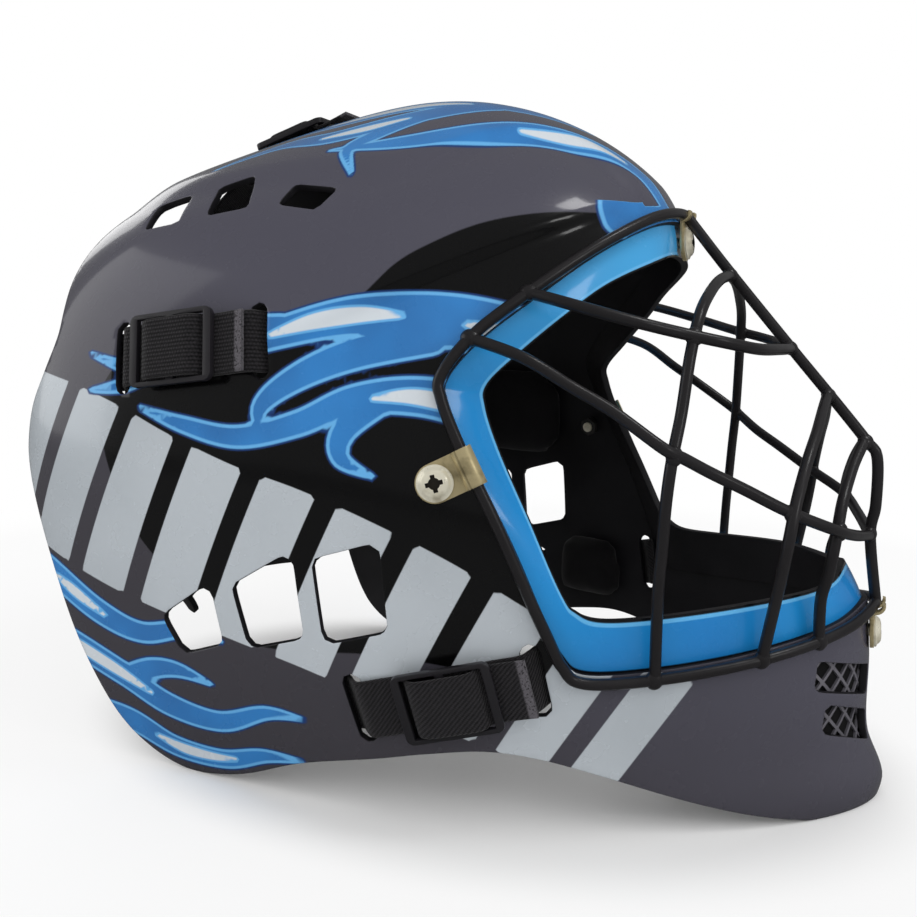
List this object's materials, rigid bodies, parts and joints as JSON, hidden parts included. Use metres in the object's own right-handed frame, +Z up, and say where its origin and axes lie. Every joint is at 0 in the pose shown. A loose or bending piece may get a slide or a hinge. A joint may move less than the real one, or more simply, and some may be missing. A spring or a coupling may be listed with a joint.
{
  "type": "floorball goalkeeper helmet",
  "caption": "Floorball goalkeeper helmet with a moulded shell, welded wire face cage, webbing adjusters, sprung back plate and foam liner.",
  "frame": {"origin": "centre of the bounding box at the resting plane, under the middle of the head", "axes": "+Z up, face towards -Y, X across the head, symmetric about X = 0"},
  "size_m": [0.2436, 0.3396, 0.276],
  "materials": {
    "shell_plastic": "glossy moulded shell with painted graphics",
    "plate_plastic": "satin moulded plate",
    "cage_coating": "semi-gloss black coating on steel wire",
    "clip_plate": "warm nickel-plated steel",
    "screw_steel": "nickel-plated steel",
    "nut_steel": "plain steel",
    "webbing": "woven elastic webbing",
    "adjuster_plastic": "satin moulded plastic",
    "liner_foam": "cloth-faced closed-cell foam",
    "mesh_plastic": "moulded mesh"
  },
  "bodies": {
    "helmet": {"shell": "shell_plastic", "cage_rim_wire": "cage_coating", "cage_centre_bar": "cage_coating", "cage_upright_outer_left": "cage_coating", "cage_upright_outer_right": "cage_coating", "cage_upright_middle_left": "cage_coating", "cage_upright_middle_right": "cage_coating", "cage_upright_inner_left": "cage_coating", "cage_upright_inner_right": "cage_coating", "cage_brow_bar_left": "cage_coating", "cage_brow_bar_right": "cage_coating", "cage_cheek_bar_left": "cage_coating", "cage_cheek_bar_right": "cage_coating", "clip_left": "clip_plate", "clip_right": "clip_plate", "clip_chin": "clip_plate", "clip_forehead": "clip_plate", "clip_screws": "screw_steel", "clip_nuts": "nut_steel", "strap_upper_left": "webbing", "strap_upper_right": "webbing", "strap_lower_left": "webbing", "strap_lower_right": "webbing", "strap_top": "webbing", "foam_brow": "liner_foam", "foam_crown": "liner_foam", "foam_temple_left": "liner_foam", "foam_temple_right": "liner_foam", "foam_jaw_left": "liner_foam", "foam_jaw_right": "liner_foam", "chin_mesh_left": "mesh_plastic", "chin_mesh_right": "mesh_plastic"},
    "back": {"back_plate": "plate_plastic", "foam_back": "liner_foam"},
    "adjuster_upper_left": {"buckle_upper_left": "adjuster_plastic", "tail_upper_left": "webbing"},
    "adjuster_upper_right": {"buckle_upper_right": "adjuster_plastic", "tail_upper_right": "webbing"},
    "adjuster_lower_left": {"buckle_lower_left": "adjuster_plastic", "tail_lower_left": "webbing"},
    "adjuster_lower_right": {"buckle_lower_right": "adjuster_plastic", "tail_lower_right": "webbing"},
    "adjuster_top": {"buckle_top": "adjuster_plastic", "tail_top": "webbing"}
  },
  "joints": [
    {"name": "back_plate_swing", "type": "hinge", "parent": "helmet", "child": "back", "pos_m": [0, 0.137, 0.243], "axis": [1, 0, 0], "range_deg": [0, 25], "stiffness_Nm_per_rad": 1.2, "springref_deg": -14.32, "deforming": ["strap_upper_left", "strap_upper_right", "strap_lower_left", "strap_lower_right", "strap_top"]},
    {"name": "adjuster_upper_left_slide", "type": "slide", "parent": "helmet", "child": "adjuster_upper_left", "axis": [-0.0231, -0.9901, 0.1381], "range_m": [-0.004, 0.004]},
    {"name": "adjuster_upper_right_slide", "type": "slide", "parent": "helmet", "child": "adjuster_upper_right", "axis": [0.0231, -0.9901, 0.1381], "range_m": [-0.004, 0.004]},
    {"name": "adjuster_lower_left_slide", "type": "slide", "parent": "helmet", "child": "adjuster_lower_left", "axis": [-0.2115, -0.9451, 0.2492], "range_m": [-0.004, 0.004]},
    {"name": "adjuster_lower_right_slide", "type": "slide", "parent": "helmet", "child": "adjuster_lower_right", "axis": [0.2115, -0.9451, 0.2492], "range_m": [-0.004, 0.004]},
    {"name": "adjuster_top_slide", "type": "slide", "parent": "helmet", "child": "adjuster_top", "axis": [0, 0.9527, -0.304], "range_m": [-0.004, 0.004]}
  ]
}
